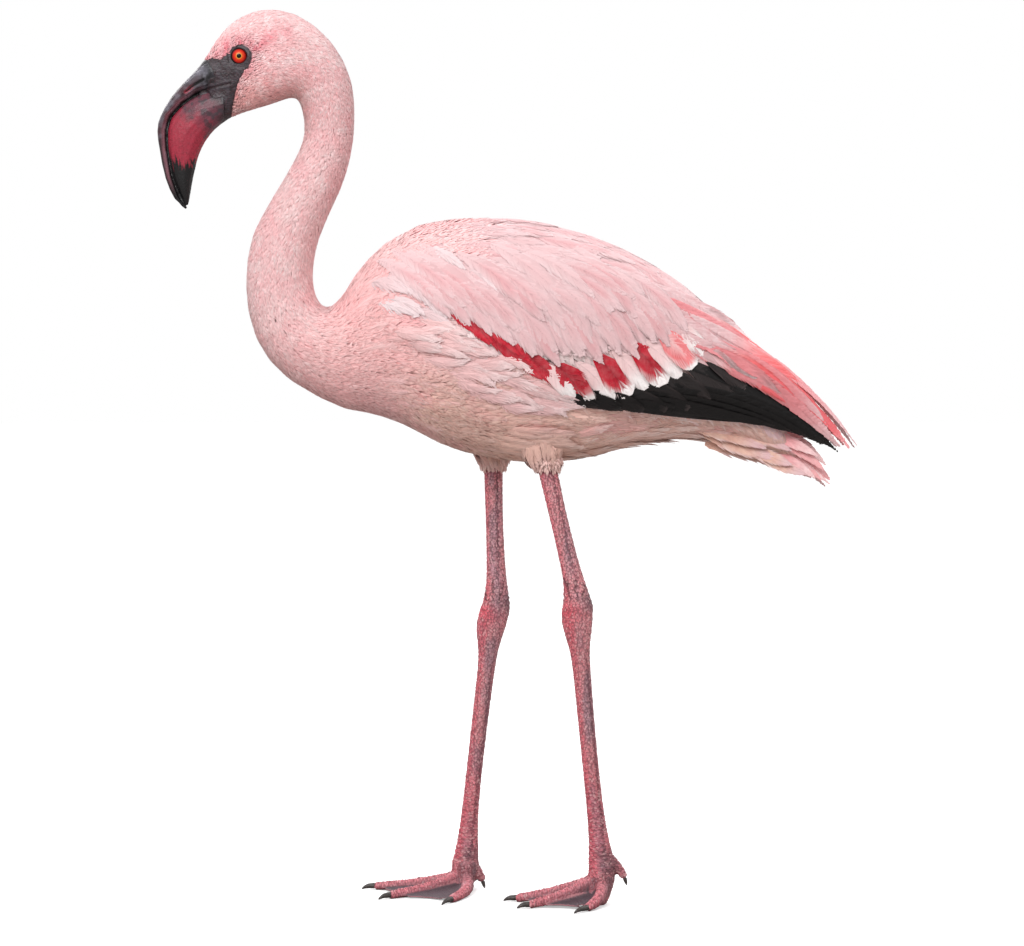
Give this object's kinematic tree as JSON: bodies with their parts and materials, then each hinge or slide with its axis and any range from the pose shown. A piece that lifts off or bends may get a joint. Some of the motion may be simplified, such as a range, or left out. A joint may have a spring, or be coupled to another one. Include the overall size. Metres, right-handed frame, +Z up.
{
  "type": "lesser flamingo",
  "caption": "Life-size lesser flamingo standing still, with an S-curved neck, a bent bill, closed wings, long bare legs and webbed feet.",
  "frame": {"origin": "on the floor, under the middle of the bird's bounding box", "axes": "+Z up; the bird looks along -X; its left side is towards -Y"},
  "size_m": [0.627, 0.157, 0.797],
  "materials": {
    "plumage_pink": "soft pale pink contour feathers",
    "wing_coverts": "white to pale pink coverts with crimson centres",
    "feather_rose": "rose and salmon long feathers",
    "feather_black": "glossy black flight feathers",
    "leg_skin": "dusty rose scaled skin",
    "bill_dark": "dark grey horn, satin",
    "bill_red": "crimson horn with a black tip, satin",
    "claw_horn": "dark grey horn",
    "eye": "wet orange-red iris with a black pupil"
  },
  "bodies": {
    "root": {"head": "plumage_pink", "neck_upper": "plumage_pink", "neck_middle": "plumage_pink", "neck_lower": "plumage_pink", "trunk": "plumage_pink", "bill_upper": "bill_dark", "bill_lower": "bill_red", "tail": "feather_rose", "wing_left": "wing_coverts", "primaries_left": "feather_black", "tertials_left": "feather_rose", "eye_left": "eye", "thigh_left": "plumage_pink", "shin_left": "leg_skin", "shank_left": "leg_skin", "foot_left": "leg_skin", "claw_outer_left": "claw_horn", "claw_middle_left": "claw_horn", "claw_inner_left": "claw_horn", "claw_hind_left": "claw_horn", "wing_right": "wing_coverts", "primaries_right": "feather_black", "tertials_right": "feather_rose", "eye_right": "eye", "thigh_right": "plumage_pink", "shin_right": "leg_skin", "shank_right": "leg_skin", "foot_right": "leg_skin", "claw_outer_right": "claw_horn", "claw_middle_right": "claw_horn", "claw_inner_right": "claw_horn", "claw_hind_right": "claw_horn"}
  },
  "joints": []
}
